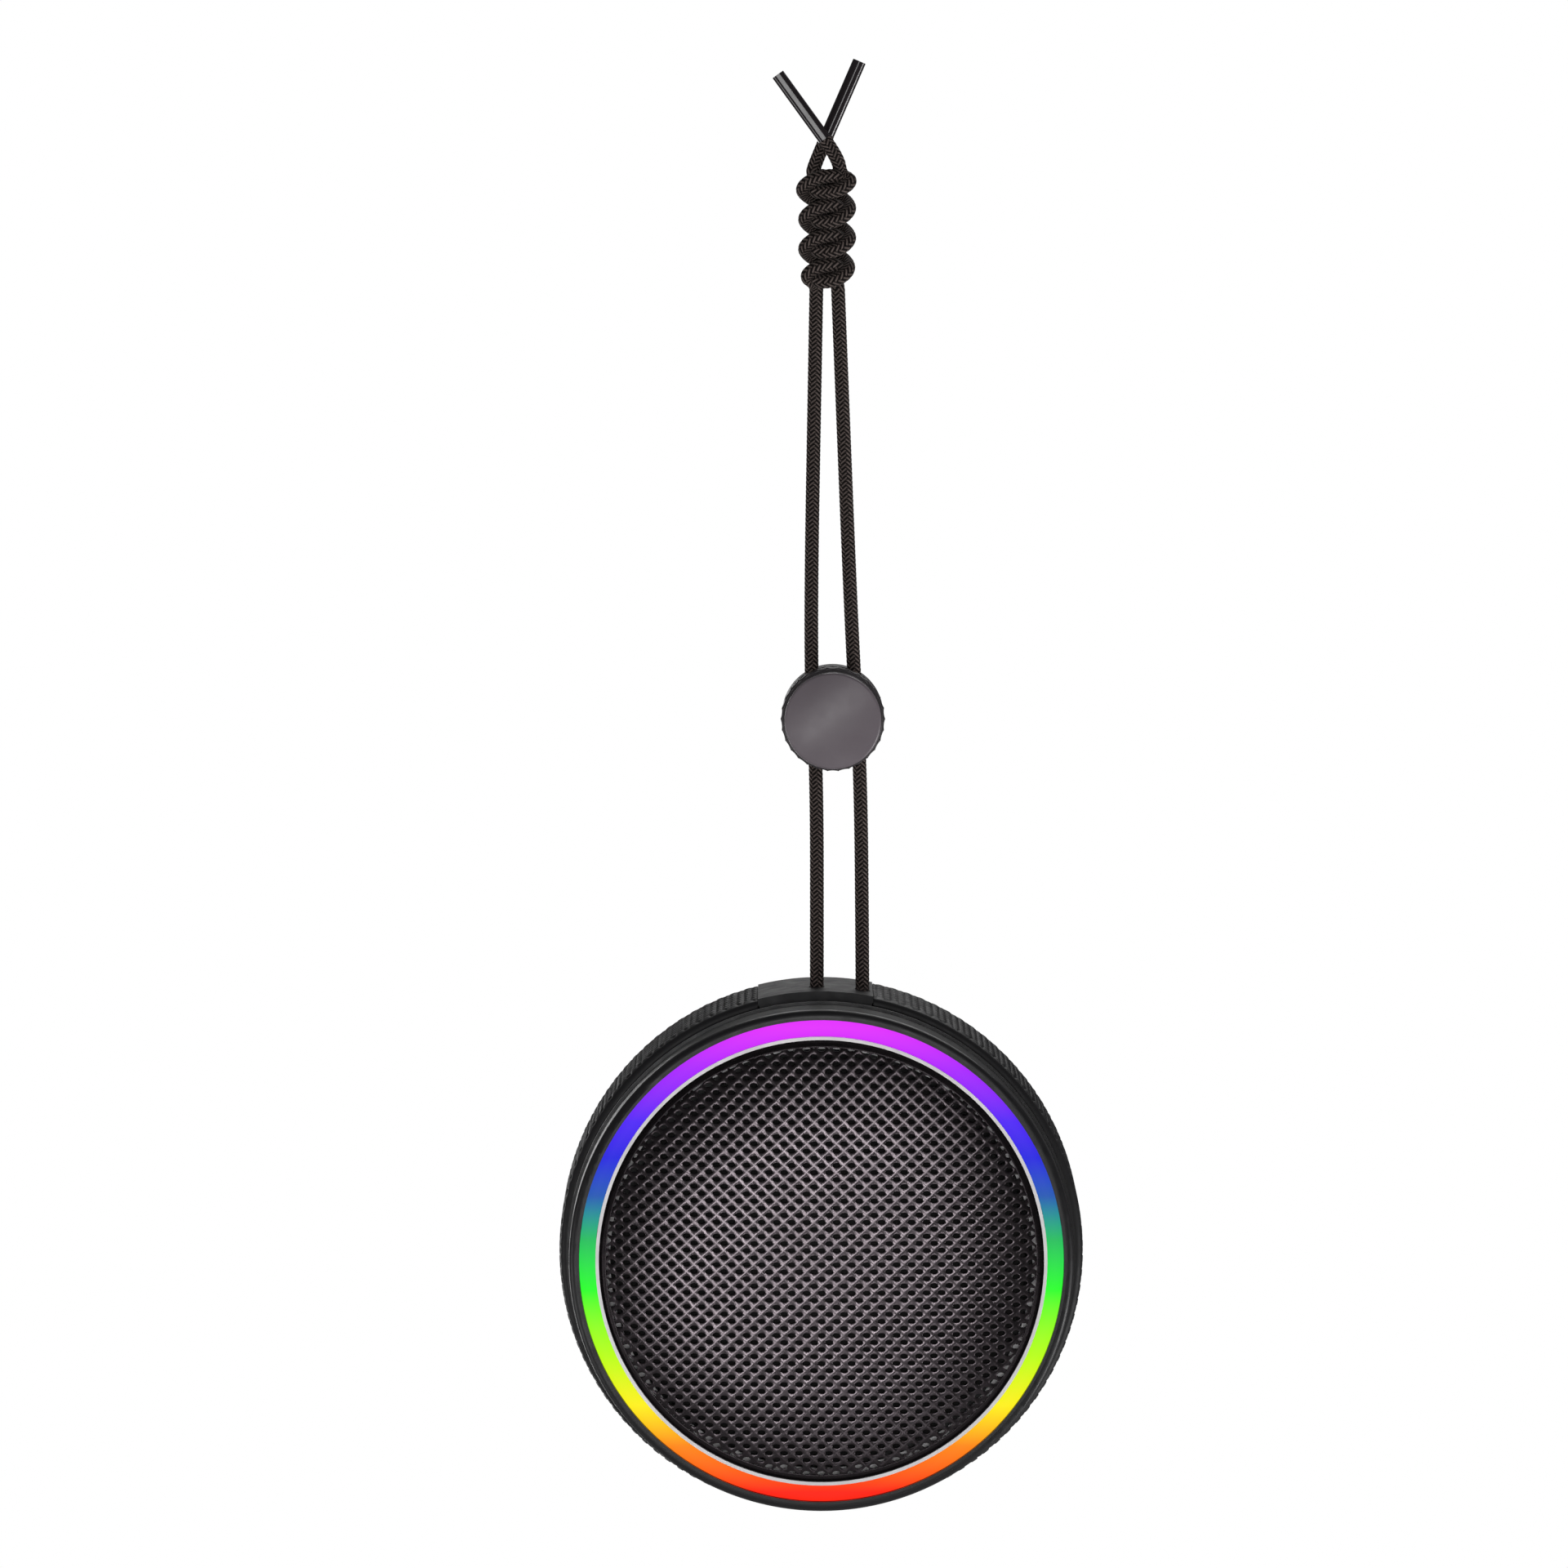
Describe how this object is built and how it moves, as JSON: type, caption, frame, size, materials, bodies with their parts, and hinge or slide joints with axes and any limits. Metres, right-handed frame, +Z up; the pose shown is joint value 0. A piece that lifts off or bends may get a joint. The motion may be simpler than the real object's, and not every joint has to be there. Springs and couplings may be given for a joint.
{
  "type": "hanging shower speaker",
  "caption": "Round puck-shaped battery speaker with a domed metal grille in a lit ring, hung from a knotted doubled cord with a sliding push-button cord lock.",
  "frame": {"origin": "the crotch of the cord loop, just under the lowest knot, where a hook or a tap holds it", "axes": "+Z up along the cord, the grille faces -Y, the back with its buttons faces +Y, +X is to the right seen from the front"},
  "size_m": [0.0859, 0.0458, 0.2383],
  "materials": {
    "housing_black": "fine satin moulded plastic",
    "tread_rubber": "moulded silicone rubber with a knurled tread",
    "grille_metal": "satin dark grey anodised, perforated",
    "grille_cloth": "fine black water-repellent mesh",
    "trim_silver": "satin turned ring",
    "light_diffuser": "frosted light guide, lit in colours from magenta at the top to red at the bottom",
    "seal_rubber": "soft silicone",
    "button_rubber": "soft-touch rubber caps",
    "steel_screw": "zinc-plated screws and pins",
    "circuit_green": "green circuit board",
    "chip_black": "moulded chip",
    "shield_metal": "pressed tin cans and sockets",
    "led_white": "small white lamps",
    "driver_steel": "pressed, painted frame",
    "magnet_ferrite": "grey ferrite",
    "plate_zinc": "zinc-plated steel",
    "cone_paper": "coated paper cone",
    "surround_rubber": "butyl roll surround",
    "spider_cloth": "corrugated resin cloth",
    "coil_copper": "enamelled copper wire",
    "former_film": "amber polyimide film",
    "battery_wrap": "soft aluminium pouch",
    "foam_pad": "double-sided foam",
    "wire_pvc": "PVC insulated wire",
    "plug_nylon": "nylon wire plugs",
    "cord_braid": "round black braided cord",
    "tip_gloss": "clear shrink tip over black cord",
    "lock_body": "dark moulded plastic",
    "lock_cap": "satin dark grey cap",
    "spring_steel": "spring wire"
  },
  "bodies": {
    "speaker": {"front_bezel": "housing_black", "main_housing": "housing_black", "rear_cover": "housing_black", "tread_band": "tread_rubber", "top_pad": "tread_rubber", "foot_ring": "seal_rubber", "front_seal": "seal_rubber", "housing_screws": "steel_screw", "cord_pin": "steel_screw", "cord_turn": "cord_braid", "light_ring": "light_diffuser", "grille_trim_ring": "trim_silver", "front_grille": "grille_metal", "grille_cloth": "grille_cloth", "led_board": "circuit_green", "leds": "led_white", "driver_gasket": "foam_pad", "driver_frame": "driver_steel", "driver_screws": "steel_screw", "magnet_top_plate": "plate_zinc", "magnet": "magnet_ferrite", "magnet_yoke": "plate_zinc", "surround": "surround_rubber", "spider": "spider_cloth", "driver_terminal": "chip_black", "battery_pad": "foam_pad", "battery": "battery_wrap", "main_board": "circuit_green", "board_screws": "steel_screw", "bluetooth_module": "shield_metal", "main_chip": "chip_black", "amplifier_chip": "chip_black", "capacitors": "shield_metal", "microphone": "shield_metal", "button_switches": "chip_black", "usb_socket": "shield_metal", "board_plugs": "plug_nylon", "speaker_wires": "wire_pvc", "battery_wires": "wire_pvc", "light_wires": "wire_pvc"},
    "lanyard": {"cord_strand_left": "cord_braid", "cord_strand_right": "cord_braid", "cord_knots": "cord_braid", "cord_end_left": "cord_braid", "cord_end_right": "cord_braid", "cord_tip_left": "tip_gloss", "cord_tip_right": "tip_gloss"},
    "cord_lock": {"lock_body": "lock_body", "lock_spring": "spring_steel"},
    "lock_cap": {"lock_button": "lock_cap"},
    "driver_cone": {"cone": "cone_paper", "dust_cap": "cone_paper", "voice_coil_former": "former_film", "voice_coil": "coil_copper"},
    "play_button_cap": {"play_button": "button_rubber"},
    "volume_up_button_cap": {"volume_up_button": "button_rubber"},
    "volume_down_button_cap": {"volume_down_button": "button_rubber"},
    "power_button_cap": {"power_button": "button_rubber"},
    "light_button_cap": {"light_button": "button_rubber"},
    "port_flap": {"port_cover": "seal_rubber"}
  },
  "joints": [
    {"name": "speaker_swing", "type": "hinge", "parent": "lanyard", "child": "speaker", "pos_m": [-0.00095, 0, -0.1135], "axis": [1, 0, 0], "range_deg": [-60, 60]},
    {"name": "lock_slide", "type": "slide", "parent": "lanyard", "child": "cord_lock", "axis": [0, 0, 1], "range_m": [-0.022, 0.06]},
    {"name": "lock_press", "type": "slide", "parent": "cord_lock", "child": "lock_cap", "axis": [0, 1, 0], "range_m": [0, 0.0018], "stiffness_N_per_m": 600, "springref_m": -0.001, "deforming": ["lock_spring"]},
    {"name": "cone_travel", "type": "slide", "parent": "speaker", "child": "driver_cone", "axis": [0, -1, 0], "range_m": [-0.001, 0.001], "stiffness_N_per_m": 1000, "deforming": ["surround", "spider"]},
    {"name": "play_press", "type": "slide", "parent": "speaker", "child": "play_button_cap", "axis": [0, -1, 0], "range_m": [0, 0.0005], "stiffness_N_per_m": 500, "springref_m": -0.0004},
    {"name": "volume_up_press", "type": "slide", "parent": "speaker", "child": "volume_up_button_cap", "axis": [0, -1, 0], "range_m": [0, 0.0005], "stiffness_N_per_m": 500, "springref_m": -0.0004},
    {"name": "volume_down_press", "type": "slide", "parent": "speaker", "child": "volume_down_button_cap", "axis": [0, -1, 0], "range_m": [0, 0.0005], "stiffness_N_per_m": 500, "springref_m": -0.0004},
    {"name": "power_press", "type": "slide", "parent": "speaker", "child": "power_button_cap", "axis": [0, -1, 0], "range_m": [0, 0.0005], "stiffness_N_per_m": 500, "springref_m": -0.0004},
    {"name": "light_press", "type": "slide", "parent": "speaker", "child": "light_button_cap", "axis": [0, -1, 0], "range_m": [0, 0.0005], "stiffness_N_per_m": 500, "springref_m": -0.0004},
    {"name": "port_flap_open", "type": "hinge", "parent": "speaker", "child": "port_flap", "pos_m": [-0.00095, 0.0199, -0.1767], "axis": [1, 0, 0], "range_deg": [0, 90]}
  ]
}
